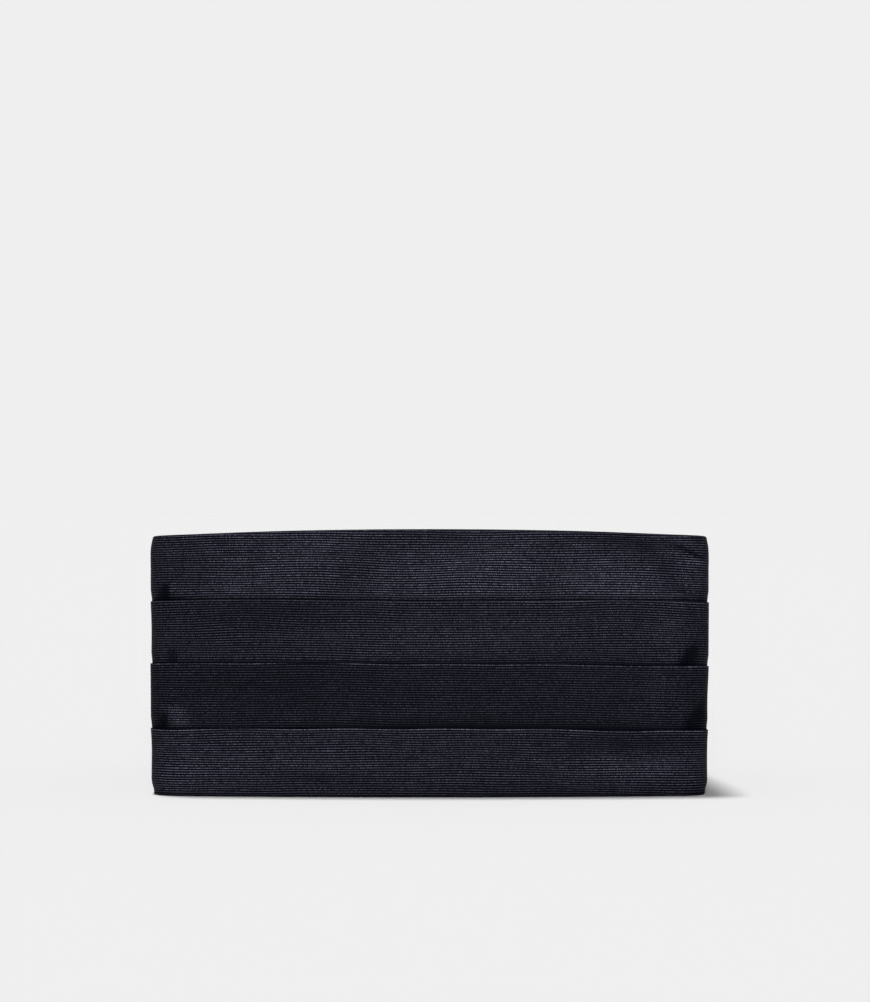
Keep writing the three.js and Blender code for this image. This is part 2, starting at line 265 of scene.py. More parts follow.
def plan_at(along):
    """A point of the outermost face and the outward direction there; negative goes left."""
    side = -1 if along < 0 else 1
    left = abs(along)
    here = (0, 0, 0)
    for radius, length in loop_runs:
        distance = min(left, length)
        here = travel(*here, radius, distance)
        left -= distance
    x, y, heading = here
    return side * x, y + cad_low.y / MM, side * math.sin(heading), -math.cos(heading)


print("loop", round(2 * sum(run[1] for run in loop_runs)), "mm round,",
      round(loop_depth), "mm deep")

# %% [markdown]
# ## The band's outline
# The band is highest in the middle of the front, and its upper edge falls a little towards the
# corners and then tapers round the sides to the strap. The lower edge lies flat on the table
# and rises only near the ends. Both edges and the three folded pleat edges are curves through
# short tables of shares.

# %% Outline and pleats
# along: share of the wing; top, bottom: shares of the band's height.
OUTLINE = table("along top bottom", [
    (   0,     1,     0),
    ( 0.2, 0.994,     0),
    (0.34, 0.981,     0),
    (0.44, 0.969,     0),
    ( 0.6, 0.925,     0),
    (0.72, 0.862,     0),
    (0.84, 0.765, 0.055),
    (0.93, 0.665,  0.13),
    (   1,   0.6, 0.183),
])
# up: height of a folded edge; slant: its fall from the left of the front to the right;
# bow: how much higher it lies from the front corners on than in the middle.
PLEATS = table("up slant bow", [
    (0.7305, 0.004,  0.016),
    (0.4975, 0.011,  0.005),
    (0.2575, 0.007, -0.004),
])


def smooth(t):
    """Rises gently from 0 to 1."""
    t = max(0.0, min(t, 1.0))
    return t * t * (3 - 2 * t)


def read_between(rows, column, place):
    """A column between two rows, on a smooth curve that stays flat where rows are equal."""
    last = len(rows) - 1

    def rate(i):
        return (rows[i + 1][column] - rows[i][column]) / (rows[i + 1]["along"] - rows[i]["along"])

    def slope(i):
        if i == 0:
            return 0
        if i == last:
            return rate(last - 1)
        return (rate(i - 1) + rate(i)) / 2 if rate(i - 1) * rate(i) > 0 else 0

    i = 0
    while i < last - 1 and rows[i + 1]["along"] < place:
        i += 1
    span = rows[i + 1]["along"] - rows[i]["along"]
    t = (place - rows[i]["along"]) / span
    start = rows[i][column]
    rise = rows[i + 1][column] - start
    first, final = slope(i) * span, slope(i + 1) * span
    return (start + first * t + (3 * rise - 2 * first - final) * t ** 2
            + (first + final - 2 * rise) * t ** 3)


def edges_at(along):
    """Heights of the band's top, its three folded edges and its bottom."""
    share = min(abs(along) / WING_LENGTH, 1)
    top = band_height * read_between(OUTLINE, "top", share)
    bottom = band_height * read_between(OUTLINE, "bottom", share)
    tilt = max(-0.5, min(along / front_width, 0.5))
    rise = smooth(abs(along) / corner_start)
    folds = [bottom + (p["up"] - p["slant"] * tilt + p["bow"] * rise) * (top - bottom)
             for p in PLEATS]
    return [top, *folds, bottom]


print("edges in the middle", [round(z, 1) for z in edges_at(0)])

# %% [markdown]
# ## Folding flat cloth
# The pleated front is one strip of cloth, so it is made as one: a grid whose columns are places
# along the loop and whose rows are distances down the flat strip. Each row belongs to a stretch
# of the strip: a hem, a rolled edge, a tier's face, the turn in the bottom of a pleat's pocket
# or the hidden return up to the next fold. A function then says how deep in the band and how
# high each stretch lies at each column. The rows on the faces are a third of a rib apart, so
# that every rib of the weave is real relief and not only a pattern.

# %% Cloth sizes
# Of the names below, RIB_RELIEF is half a rib's height, and RELIEF_FADE the length past the
# corner over which it dies out. DRIFT is how far ribs wander. PRESSED is the step from one
# pressed layer to the next, and POCKET_TURN how many of these the turn in a pocket's bottom
# stands back. FOLD_RISE and EDGE_RISE are how far folds and rolled edges round out beyond a
# face, TUCK is the height over which a tier leans in under the next fold, and LIP how far its
# fine rows go on beneath it.
CLOTH = 0.3
RIB_PITCH = 1.08
RIB_RELIEF = 0.08
RELIEF_FADE = 15.0
DRIFT = 0.7
DRIFT_LENGTH = 34.0
DRIFT_HEIGHT = 12.0
DRIFT_SEED = 9.1
POCKET_DEPTH = 12.0
HEM = 12.0
PRESSED = 0.38
POCKET_TURN = 1.6
POCKET_GAP = 0.02
FOLD_RISE = 0.22
EDGE_RISE = 0.75
HEM_DEPTH = 2.55
TIER_LEAN = 0.3
TUCK = 6.0
LAST_LEAN = 0.5
LIP = 0.9
HIDDEN_STEP = 3.0

row_step = RIB_PITCH / 3
face_depth = CLOTH / 2
behind_fold = 2 * PRESSED + POCKET_GAP
edge_half = (HEM_DEPTH - face_depth) / 2
edge_roll = math.pi * math.sqrt((edge_half ** 2 + EDGE_RISE ** 2) / 2)


def lean(tier, drop, height):
    """How far a tier's face leans in below its fold: slightly, then under the next fold."""
    if tier == 3:
        return LAST_LEAN * drop / height
    return (TIER_LEAN * drop / height
            + (behind_fold - TIER_LEAN) * smooth((drop - height + TUCK) / TUCK))


print("rolled edge", round(edge_roll, 2), "mm, behind a fold", round(behind_fold, 2), "mm")

# %% [markdown]
# ## Dents, creases and waves
# Pressed silk is never quite flat: it dimples where a pleat turns a corner and swells gently in
# between. Each dent or wave is one soft bump with a place, a size and a slant. It moves the cloth in
# or out and also paints light and shade into the silk's colour there, because a weave that is turned
# a little looks much lighter or darker than its relief alone would: that look is painted in as
# painted shade and painted highlight.

# %% Dents, creases and soft waves
# tier: 0 at the top; side: -1 left, 1 right; past: mm past the start of the front corner; above: mm
# above the fold below; wide, tall: mm; slant: mm sideways for each mm up; deep: mm in; dull: the
# share of the silk's colour that is darkened there as painted shade, negative where it is lightened
# as a painted highlight.
DENTS = table("tier side past above wide tall slant deep dull", [
    (0, -1,  6.6,  2.5, 3.4,   6, -0.3,  1.9,  0.95),
    (0, -1,  3.4,  6.5, 3.5, 2.5,  0.5, -0.4,  -0.7),
    (0, -1,    2,  0.6,   6, 1.2,    0,  0.3,   0.7),
    (1, -1,  1.6,    2, 2.6, 4.5,    0,  0.9,  0.65),
    (2, -1,  7.2,  2.5,   3,   5, -0.4,  1.9,  0.95),
    (2, -1, -0.5,    6,   5,   4,  0.5, -0.8,  -1.6),
    (1,  1,  3.3,  2.8, 4.5,   7, 0.35,    2,   0.9),
    (2,  1,  6.2,  3.5, 4.5, 8.5, 0.45,    2,  0.97),
    (0,  1,  3.4, 22.2, 2.8, 3.8, -2.3,  0.9,   0.7),
    (0,  1,    8, 18.5,   7,   2,   -1, -0.3, -0.35),
    (0,  1,    9,    2, 3.5, 3.5,    0,  0.8,   0.4),
    (0, -1,   18,   31,  14,   5,    0,  1.4,   0.2),
    (0,  1,   18,   31,  14,   5,    0,  1.3,   0.2),
    (1, -1,   20,   14,  16,  14,    0,  0.4,     0),
    (2,  1,   20,   12,  16,  12,    0,  0.6,     0),
    (3, -1,   20,   16,  16,  14,    0,  0.6,     0),
    (3,  1,   20,   17,  16,  15,    0,  0.7,     0),
    (3, -1,   18,  0.5,  14,   3,    0,  1.1,   0.2),
    (3,  1,   18,  0.5,  14,   3,    0,  1.1,   0.2),
])
# Broad waves of the front, and patches where the silk is only painted lighter or darker as painted
# sheen and shade. right: mm right of the centre; above: mm above the tier's lower fold; high: mm out;
# sheen: the painted light or shade it adds to its tier's share in TIER_PAINTED_LIGHT.
WAVES = table("tier right above wide tall slant high sheen", [
    (0, -112, 14, 18,  18,    0,     0,  -0.3),
    (0,  -92, 10, 11,   9,    0,  0.25,  0.12),
    (0,  -60, 19, 14,  12,  0.6,   0.3,   0.2),
    (0,  -32, 14,  7,  16,  0.9, -0.25, -0.24),
    (0,    4, 29, 22,   5,    0,     0, -0.25),
    (0,   24, 14, 34,  11,  0.2,   0.4,  0.32),
    (0,   54, 14,  4,  16, 0.35,  -0.2,  -0.3),
    (0,   84,  8, 20,  10, -0.4,  0.35,  0.34),
    (0,   84, 27, 16,   6, -1.6,  -0.3,  -0.5),
    (0,  106, 14,  5,  14, -0.8,  -0.2, -0.38),
    (1,  -78, 23, 42,   6,    0,  -0.2, -0.24),
    (1,  -88, 11, 26,   6,    0,   0.2, -0.06),
    (1,    8, 12, 44,   6,  0.5,   0.3,  0.24),
    (1,   60,  3, 50,   3,    0,     0, -0.12),
    (1,  108, 16,  8,  14,    0,   0.2,  0.16),
    (2,  -70, 20, 40,   9,    0,  -0.2, -0.12),
    (2,    4, 17,  6,   9,  0.5,   0.2,  0.07),
    (2,   68, 20,  5,  10,  0.4,   0.2,  0.08),
    (2,  103, 18,  7,  14,    0,   0.2,  0.16),
    (2,   34,  0, 84, 4.5,    0,  -0.5,  -0.3),
    (3, -112, 12, 34,   9,  0.6,  0.35,   0.3),
    (3,  -56, 16, 32,   5, -1.5,  0.25,   0.2),
    (3,  -48,  9, 22,   3, -1.5,  -0.2,  -0.2),
    (3,   90, 24, 34,   5,    0, -0.25, -0.36),
    (3,   94, 12, 26,   6,  0.3,  0.35,   0.4),
    (3,   60,  2, 60,   4,    0,     0,  -0.2),
])
# How light each of the four tiers is painted, from the top one down: each lies at its own angle, and
# the light and shade of that angle is painted into the silk's colour.
TIER_PAINTED_LIGHT = [0.91, 0.615, 0.41, 0.675]
print("dents", len(DENTS), "waves", len(WAVES))

# %% Relief and painted light and shade
# A dent's painted shade is full where its bump times DENT_CORE reaches 1. A tier is painted dark as
# shade in the crease above the next fold, gets a painted highlight on its own folded edge and is
# painted darker where it turns the corner away from the light. WOBBLE is the faint unrest of all the
# cloth.
DIMMEST = 0.08
DENT_CORE = 1.6
CREASE_SHADE = 0.85
CREASE_REACH = 1.3
EDGE_GLINT = 1.8
EDGE_REACH = 0.65
TURN_SHADE = 0.45
TURN_START = 7.5
TURN_REACH = 6.0
WOBBLE = 0.12
WOBBLE_LENGTH = 34.0
WOBBLE_HEIGHT = 13.0
WOBBLE_SEED = 3.7


def hump(across, upward, row):
    """A soft bump of height 1 at 0, 0 that slants as its row says."""
    a = (across - row["slant"] * upward) / row["wide"]
    b = upward / row["tall"]
    return math.exp(-a * a - b * b)


def relief(tier, along, above):
    """How far in the cloth of one tier lies beyond its even lean, in mm."""
    place = Vector((along / WOBBLE_LENGTH, above / WOBBLE_HEIGHT, WOBBLE_SEED * tier))
    depth = WOBBLE * noise.noise(place)
    for dent in DENTS:
        if dent["tier"] == tier and dent["side"] * along > 0:
            across = abs(along) - corner_start - dent["past"]
            depth += dent["deep"] * hump(across, above - dent["above"], dent)
    for wave in WAVES:
        if wave["tier"] == tier:
            depth -= wave["high"] * hump(along - wave["right"], above - wave["above"], wave)
    return depth


def sheen(tier, along, above, below):
    """The share of the silk's colour that paints light and shade at a place above the fold below its
    tier and below its own fold: painted shade where it turns in over a fold, and the strongest
    painted highlight on a folded edge."""
    share = TIER_PAINTED_LIGHT[tier]
    for wave in WAVES:
        if wave["tier"] == tier:
            share += wave["sheen"] * hump(along - wave["right"], above - wave["above"], wave)
    for dent in DENTS:
        if dent["tier"] == tier and dent["side"] * along > 0:
            across = abs(along) - corner_start - dent["past"]
            core = smooth(DENT_CORE * hump(across, above - dent["above"], dent))
            share *= 1 - dent["dull"] * core
    share = max(share, DIMMEST) * (1 - CREASE_SHADE * math.exp(-(above / CREASE_REACH) ** 2))
    if tier > 0:
        share *= 1 + EDGE_GLINT * math.exp(-(below / EDGE_REACH) ** 2)
    past = abs(along) - corner_start - TURN_START
    turned = smooth(past / TURN_REACH) - smooth((past - 2 * TURN_REACH) / (2 * TURN_REACH))
    return share * (1 - TURN_SHADE * turned)


first_dent = DENTS[0]
dent_place = first_dent["side"] * (corner_start + first_dent["past"])
print("first dent", round(relief(first_dent["tier"], dent_place, first_dent["above"]), 2), "mm deep")

# %% [markdown]
# ## The strip before it is folded
# The strip is first laid out flat, row by row, so that the cloth keeps its true length: each
# row knows how far down the strip it is, and the weave is counted by that. The faces have rows
# on every third of a rib. Returns, pockets and hems are hidden, so a few rows are enough.

# %% The rows of the flat strip
# POCKET_ROWS are mm below a fold, BOTTOM_ROWS mm above a pocket's bottom, and the other two are
# shares of a return and of a fold.
POCKET_ROWS = (1.0, 4.0, 8.0)
BOTTOM_ROWS = (8.0, 4.0, 0.0)
RETURN_ROWS = (0, 0.35, 0.7, 0.94, 1)
FOLD_ROWS = (0.25, 0.5, 0.75)


def next_rib(distance):
    """The first whole rib at or after a distance down the strip."""
    return math.ceil(distance / RIB_PITCH) * RIB_PITCH


middle_edges = edges_at(0)
tier_heights = [middle_edges[i] - middle_edges[i + 1] for i in range(4)]


def cloth_rows():
    """Every row from the top hem's raw edge down to the bottom hem's: its stretch of the strip,
    its tier, its place in that stretch and its distance down the flat strip."""
    rows = []
    hem_end = next_rib(tier_heights[0] + edge_roll + HEM)
    steps = round((tier_heights[0] + edge_roll) / row_step)
    for k in range(round((hem_end - steps * row_step) / HIDDEN_STEP), 0, -1):
        rows.append(("upper", 0, steps * row_step + k * HIDDEN_STEP))
    rows += [("upper", 0, k * row_step) for k in range(steps, -1, -1)]
    rows = [(*row, hem_end - row[2]) for row in rows]
    rows += [("upper", 0, -d, hem_end + d) for d in (*POCKET_ROWS, POCKET_DEPTH)]
    strip = hem_end + POCKET_DEPTH
    for tier in (1, 2, 3):
        rows.append(("turn", tier, 0, strip + FOLD_RISE))
        for s in RETURN_ROWS:
            rows.append(("return", tier, s, strip + FOLD_RISE + s * POCKET_DEPTH))
        strip += FOLD_RISE + POCKET_DEPTH
        start = next_rib(strip + math.pi * FOLD_RISE)
        rows += [("fold", tier, s, strip + s * (start - strip)) for s in FOLD_ROWS]
        if tier < 3:
            steps = math.ceil((tier_heights[tier] + LIP) / row_step)
            rows += [("face", tier, k * row_step, start + k * row_step) for k in range(steps)]
            full = tier_heights[tier] + POCKET_DEPTH
            rows += [("face", tier, full - d, start + full - d) for d in BOTTOM_ROWS]
            strip = start + full
        else:
            steps = round((tier_heights[3] + edge_roll) / row_step)
            rows += [("lower", 3, k * row_step, start + k * row_step) for k in range(steps + 1)]
            for k in range(1, round(HEM / HIDDEN_STEP) + 1):
                drop = steps * row_step + k * HIDDEN_STEP
                rows.append(("lower", 3, drop, start + drop))
            strip = start + drop
    return rows


cloth = cloth_rows()

# %% [markdown]
# ## Folding the strip
# A cloth simulation could fold the strip too, but pressed pleats are easier to place by their
# own sizes. Each stretch has a short rule for its depth and height: faces lean in a little,
# folds are half turns, rolled edges are half an ellipse, and a pocket hangs behind each fold.

# %% Where each row lies in the band
def rolled_edge(beyond, edge, sense, shrink):
    """Depth and height past a face's end: over the rolled edge and along the hem inside."""
    if beyond < edge_roll:
        turn = math.pi * beyond / edge_roll
        return (face_depth + edge_half * (1 - math.cos(turn)),
                edge - sense * EDGE_RISE * (1 - math.sin(turn)))
    return HEM_DEPTH, edge - sense * (EDGE_RISE + (beyond - edge_roll) * shrink)


def shrink_at(along):
    """The band's height there as a share of its height in the middle."""
    edges = edges_at(along)
    return (edges[0] - edges[4]) / band_height


def squeeze_at(along):
    """How close the rows lie: as woven in front, and closer as the band tapers past the corner."""
    return shrink_at(along) / shrink_at(corner_end) if abs(along) > corner_end else 1


print("height at the corner, as a share", round(shrink_at(corner_end), 3))

# %% The rule of each stretch
def place_row(stretch, tier, value, along, edges):
    """Depth and height of one row of the strip at a place along the band, in mm."""
    shrink = shrink_at(along)
    squeeze = squeeze_at(along)
    pocket = POCKET_DEPTH * shrink
    top = edges[0] - CLOTH / 2
    bottom = edges[4] + CLOTH / 2
    if stretch == "upper":
        height = top - EDGE_RISE - edges[1]
        beyond = value - height / squeeze
        if beyond > 0:
            depth, z = rolled_edge(beyond, top, 1, shrink)
            return depth + relief(0, along, height) * (1 - smooth(beyond / edge_roll)), z
        if value < 0:
            drop = -value * shrink
            return (face_depth + behind_fold + lean(1, drop, edges[1] - edges[2])
                    + relief(0, along, value), edges[1] - drop)
        up = value * squeeze
        return face_depth + lean(0, height - up, height) + relief(0, along, up), edges[1] + up
    fold_top = edges[tier] - CLOTH / 2 - FOLD_RISE
    height = fold_top - edges[tier + 1]
    if stretch in ("turn", "return"):
        up = value if stretch == "return" else 0
        drop = pocket * (1 - up) + (FOLD_RISE if stretch == "turn" else 0)
        back = PRESSED * (POCKET_TURN if stretch == "turn" else 1)
        leaning = lean(tier, max(drop - FOLD_RISE, 0), height)
        return face_depth + leaning + back + relief(tier, along, height - drop), fold_top - drop
    if stretch == "fold":
        turn = math.pi * value
        face = face_depth + relief(tier, along, height)
        return face + PRESSED / 2 * (1 + math.cos(turn)), fold_top + FOLD_RISE * math.sin(turn)
    drop = value * squeeze
    if stretch == "lower":
        height = fold_top - bottom - EDGE_RISE
        beyond = value - height / squeeze
        if beyond > 0:
            depth, z = rolled_edge(beyond, bottom, -1, shrink)
            return depth + (LAST_LEAN + relief(3, along, 0)) * (1 - smooth(beyond / edge_roll)), z
        above = height - drop
        return face_depth + lean(3, drop, height) + relief(3, along, above), fold_top - drop
    shown = height + LIP
    if drop > shown:
        full = (tier_heights[tier] + POCKET_DEPTH) * squeeze
        drop = shown + (drop - shown) * (height + pocket - shown) / (full - shown)
    if drop <= height:
        depth = lean(tier, drop, height)
    else:
        depth = behind_fold + lean(tier + 1, drop - height, edges[tier + 1] - edges[tier + 2])
    return face_depth + depth + relief(tier, along, height - drop), fold_top - drop


print("fold in the middle", [round(v, 2) for v in place_row("fold", 1, 0.5, 0, middle_edges)])

# %% [markdown]
# ## Columns along the band
# The columns lie closest round the two front corners, where the band turns and the dimples are.
# On the front and the sides they can be further apart, and the piece stays under 200,000
# triangles.

# %% Columns along the band
CORNER_STEP = 1.55
FRONT_STEP = 6.5
SIDE_STEP = 9.0
CORNER_MARGIN = 10.0


def columns(reach):
    """Places along the band, closest where it turns the front corners."""
    stops = [0, corner_start - CORNER_MARGIN, corner_end + CORNER_MARGIN, reach]
    right = []
    for i, step in enumerate((FRONT_STEP, CORNER_STEP, SIDE_STEP)):
        length = stops[i + 1] - stops[i]
        count = round(length / step)
        right += [stops[i] + length * k / count for k in range(1, count + 1)]
    return [-s for s in reversed(right)] + [0] + right


stations = columns(WING_LENGTH)
print("columns", len(stations), "quads", (len(stations) - 1) * (len(cloth) - 1))

# %% [markdown]
# ## From a flat grid to a piece
# Each cloth piece starts as one flat grid. Its corners are moved to their places in the band, and its
# UV map keeps the flat cloth's own coordinates in metres, so that the weave follows every fold. A
# Solidify modifier then gives the cloth its thickness.

# %% Grid pieces
def finish_piece(name, bm, material, thickness=None):
    """Makes an object of a bmesh, gives it a wall and lets it ride on the band."""
    for face in bm.faces:
        face.smooth = True
    mesh = bpy.data.meshes.new(name)
    bm.to_mesh(mesh)
    bm.free()
    piece = bpy.data.objects.new(name, mesh)
    bpy.context.scene.collection.objects.link(piece)
    piece.data.materials.append(material)
    if thickness:
        wall = piece.modifiers.new("thickness", "SOLIDIFY")
        wall.thickness = thickness * MM
        wall.offset = 0
    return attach(piece, "root")


def grid_sheet(across, down, place):
    """A grid with a column for each value of across and a row for each value of down. place gives a
    corner's point in mm, its flat coordinates in mm and its share of painted light and shade."""
    bm = bmesh.new()
    bmesh.ops.create_grid(bm, x_segments=len(across) - 1, y_segments=len(down) - 1, size=0.5)
    uv = bm.loops.layers.uv.new("flat_cloth")
    painted_light_share = bm.verts.layers.float.new("painted_light_share")
    flat = {}
    for vert in bm.verts:
        column = round((vert.co.x + 0.5) * (len(across) - 1))
        row = round((0.5 - vert.co.y) * (len(down) - 1))
        point, flat[vert], vert[painted_light_share] = place(across[column], down[row])
        vert.co = Vector(point) * MM
    for face in bm.faces:
        for loop in face.loops:
            u, v = flat[loop.vert]
            loop[uv].uv = (u * MM, v * MM)
    return bm


def in_band(along, depth, z):
    """A point of the band: along the loop, inwards from the outermost face, and up."""
    x, y, out_x, out_y = plan_at(along)
    return x - out_x * depth, y - out_y * depth, z


print("middle of the front in mm", [round(v, 1) for v in in_band(0, 0, 0)])

# %% A corner of the front
edge_heights = {along: edges_at(along) for along in stations}


def place_cloth(along, row):
    """A corner of the pleated front. Its ribs wander a little along the cloth, as woven ribs do."""
    stretch, tier, value, strip = row
    depth, z = place_row(stretch, tier, value, along, edge_heights[along])
    if stretch in ("upper", "face", "lower") and value >= 0:
        strip -= (1 - squeeze_at(along)) * value * (-1 if stretch == "upper" else 1)
    strip += DRIFT * noise.noise(Vector((along / DRIFT_LENGTH, strip / DRIFT_HEIGHT, DRIFT_SEED)))
    if stretch in ("upper", "face", "lower") and value >= 0:
        fade = 1 - smooth((abs(along) - corner_end) / RELIEF_FADE)
        depth -= RIB_RELIEF * fade * math.cos(2 * math.pi * strip / RIB_PITCH)
    edges = edge_heights[along]
    # How light the silk is painted here: painted light and shade for this place on the front.
    painted_light_share = sheen(tier, along, z - edges[tier + 1], edges[tier] - z)
    return in_band(along, depth, z), (along, strip), painted_light_share


print("ready to fold", len(stations) * len(cloth), "corners")

# %% [markdown]
# ## Ribbed silk
# The front is silk in a ribbed weave: thin rounded ribs run along the band. Its colour has light and
# shade painted in: each rib's crest carries a painted highlight in small beads where the yarns cross
# it, the grooves between are a near-black navy that is partly the silk's own colour and partly
# painted shade, and all of it is scaled by each place's painted light and shade. The pattern is
# counted from the flat cloth's own coordinates, so it follows every fold. Real beads are finer than a
# pixel of the photograph, so these are drawn as long as they need to show.

# %% Ribbed silk material
# The first colour is the pale painted highlight of the crests and beads; the second is the grooves'
# near-black navy, partly the silk's own colour and partly painted shade.
RIB_PAINTED_HIGHLIGHT = "727286"
RIB_DARK = "04040b"
BEAD_LENGTH = 0.5
BEAD_LOW = 0.76
SWELL_LENGTH = 8.0
SWELL_LOW = 0.78
RIB_SHIFT = 7.31
CREST_POWER = 6.5
SPOT_RANGE = (0.3, 0.7)


def flat_coordinates(tree):
    """The flat cloth's own coordinates in mm: along the band and down the strip."""
    uv = add(tree, "ShaderNodeUVMap", {"uv_map": "flat_cloth"})
    parts = add(tree, "ShaderNodeSeparateXYZ", links={0: uv.outputs["UV"]})
    return [math_step(tree, "DIVIDE", parts.outputs[i], MM) for i in (0, 1)]


def ramp(tree, factor, stops):
    """A colour ramp between two (place, colour) stops."""
    node = add(tree, "ShaderNodeValToRGB", links={"Fac": factor})
    for element, (place, code) in zip(node.color_ramp.elements, stops):
        element.position = place
        element.color = colour(code)
    return node.outputs["Color"]


def streaks(tree, across, down, low, high):
    """Soft noise between low and high over two values that are in lengths of its spots."""
    place = add(tree, "ShaderNodeCombineXYZ", links={"X": across, "Y": down})
    spots = add(tree, "ShaderNodeTexNoise", {
        "noise_dimensions": "2D", "Scale": 1.0, "Detail": 1.0, "Roughness": 0.5},
        {"Vector": place.outputs[0]})
    return add(tree, "ShaderNodeMapRange", {
        "From Min": SPOT_RANGE[0], "From Max": SPOT_RANGE[1], "To Min": low, "To Max": high},
        {"Value": spots.outputs["Fac"]}).outputs["Result"]


ribbed_silk, tree, shader = new_material("ribbed_silk_weave")
along_cloth, down_cloth = flat_coordinates(tree)
ribs = math_step(tree, "DIVIDE", down_cloth, RIB_PITCH)
turns = math_step(tree, "MULTIPLY", ribs, 2 * math.pi)
crest = math_step(tree, "MULTIPLY_ADD", math_step(tree, "COSINE", turns), 0.5, 0.5)
rib_number = math_step(tree, "ROUND", ribs)
beads = streaks(tree, math_step(tree, "DIVIDE", along_cloth, BEAD_LENGTH),
                math_step(tree, "MULTIPLY", rib_number, RIB_SHIFT), BEAD_LOW, 1.0)
swells = streaks(tree, math_step(tree, "DIVIDE", along_cloth, SWELL_LENGTH),
                 math_step(tree, "DIVIDE", down_cloth, SWELL_LENGTH / 2), SWELL_LOW, 1.0)
raised = math_step(tree, "MULTIPLY", crest, beads)
painted_light_share = add(tree, "ShaderNodeAttribute", {"attribute_name": "painted_light_share"}).outputs["Fac"]
glint = math_step(tree, "MULTIPLY", math_step(tree, "POWER", raised, CREST_POWER), swells)
# The base colour is painted light and shade: it reaches the painted highlight only on crests and
# beads, times this place's painted light share.
shade = ramp(tree, math_step(tree, "MULTIPLY", glint, painted_light_share), [(0.0, RIB_DARK), (1.0, RIB_PAINTED_HIGHLIGHT)])
tree.links.new(shade, shader.inputs["Base Color"])
bump = add(tree, "ShaderNodeBump", {"Strength": 1.0, "Distance": 0.2 * MM}, {"Height": raised})
tree.links.new(bump.outputs["Normal"], shader.inputs["Normal"])
shader.inputs["Roughness"].default_value = 0.5
shader.inputs["IOR"].default_value = 1.5
shader.inputs["Specular IOR Level"].default_value = 0.02
print("ribs every", RIB_PITCH, "mm, beads about", BEAD_LENGTH, "mm long")

# %% The pleated front
pleated = finish_piece("pleated_cloth", grid_sheet(stations, cloth, place_cloth), ribbed_silk, CLOTH)
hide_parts("pleated_front")
print("pleated front", len(pleated.data.polygons), "faces")

# %% [markdown]
# ## The back panel
# Inside the pleats lies one plain layer that they are sewn on. It follows the same dents a
# little more softly and stops short of both edges. It is a plain cotton weave, which looks matt
# and even beside the silk. Its threads are drawn wider than real ones, so that they show.

# %% Plain weave material
PLAIN_PITCH = 0.5

plain_weave, tree, shader = new_material("plain_cotton_weave")
along_cloth, down_cloth = flat_coordinates(tree)
waves = [math_step(tree, "SINE", math_step(tree, "MULTIPLY", value, math.pi / PLAIN_PITCH))
         for value in (along_cloth, down_cloth)]
over = math_step(tree, "MULTIPLY_ADD", math_step(tree, "MULTIPLY", *waves), 0.5, 0.5)
tree.links.new(ramp(tree, over, [(0.0, "10101a"), (1.0, "232330")]), shader.inputs["Base Color"])
bump = add(tree, "ShaderNodeBump", {"Strength": 0.4, "Distance": 0.06 * MM}, {"Height": over})
tree.links.new(bump.outputs["Normal"], shader.inputs["Normal"])
shader.inputs["Roughness"].default_value = 0.8
shader.inputs["IOR"].default_value = 1.5
print("plain weave of", PLAIN_PITCH, "mm")

# %% The panel
PANEL_DEPTH = 3.66
PANEL_WALL = 0.9
PANEL_INSET = 1.6
PANEL_ROWS = 40
PANEL_DENT_SHARE = 0.45


def tier_of(z, edges):
    """The tier at a height and the height above its lower fold."""
    for tier in range(4):
        if z > edges[tier + 1] or tier == 3:
            return tier, z - edges[tier + 1]


def panel_depth(along, z, edges):
    """How deep the panel lies: behind the pleats, and pushed in where they are dented."""
    tier, above = tier_of(z, edges)
    return PANEL_DEPTH + PANEL_DENT_SHARE * max(relief(tier, along, above), 0)


def place_panel(along, row):
    """A corner of the back panel."""
    edges = edge_heights[along]
    top, bottom = edges[0] - PANEL_INSET, edges[4] + PANEL_INSET
    z = top - (top - bottom) * row / PANEL_ROWS
    return in_band(along, panel_depth(along, z, edges), z), (along, top - z), 1


panel_rows = list(range(PANEL_ROWS + 1))
panel = finish_piece("lining_panel", grid_sheet(stations, panel_rows, place_panel), plain_weave,
                     PANEL_WALL)
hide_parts("back_panel")
print("back panel", len(panel.data.polygons), "faces")

# %% [markdown]
# ## The end tabs
# Each end of the band is closed by a tab: a flattened sleeve of the same silk that grips the end
# and narrows to the width of the strap. It is a grid too, wrapped round the band and joined
# along one seam inside.

# %% The section of a tab
TAB_GRIP = 26.0
TAB_TAPER = 14.0
TAB_WALL = 0.9
TAB_NARROWING = 0.7
SEAT_GAP = 0.3
BAND_BACK = 4.16
STRAP_WIDTH = 25.0
STRAP_THICK = 1.2
STRAP_DEPTH = 2.3

wing_end = edges_at(WING_LENGTH)
strap_middle = (wing_end[0] + wing_end[4]) / 2
tab_start = WING_LENGTH - TAB_GRIP
tab_end = WING_LENGTH + TAB_TAPER


def tab_section(along):
    """The middle depth, half depth, middle height and half height of the sleeve's wall."""
    edges = edges_at(along)
    grow = SEAT_GAP + TAB_WALL / 2
    wide = [BAND_BACK / 2, BAND_BACK / 2 + grow, (edges[0] + edges[4]) / 2,
            (edges[0] - edges[4]) / 2 + grow]
    narrow = [STRAP_DEPTH, STRAP_THICK / 2 + grow, strap_middle, STRAP_WIDTH / 2 + grow]
    t = smooth((along - WING_LENGTH - SEAT_GAP) / (TAB_TAPER * TAB_NARROWING))
    return [a + (b - a) * t for a, b in zip(wide, narrow)]


print("tab's mouth", [round(v, 1) for v in tab_section(tab_start)])

# %% The sleeve of a tab
TAB_ROWS = 24
TAB_SIDE_POINTS = 8
TAB_ARC = (0, 30, 60, 90)
TAB_ROUND = 1.4
ROUND_LIMIT = 0.98
# The tabs get one even share of painted light and shade for the whole sleeve.
TAB_PAINTED_LIGHT = 0.8
MERGE_GAP = 0.01


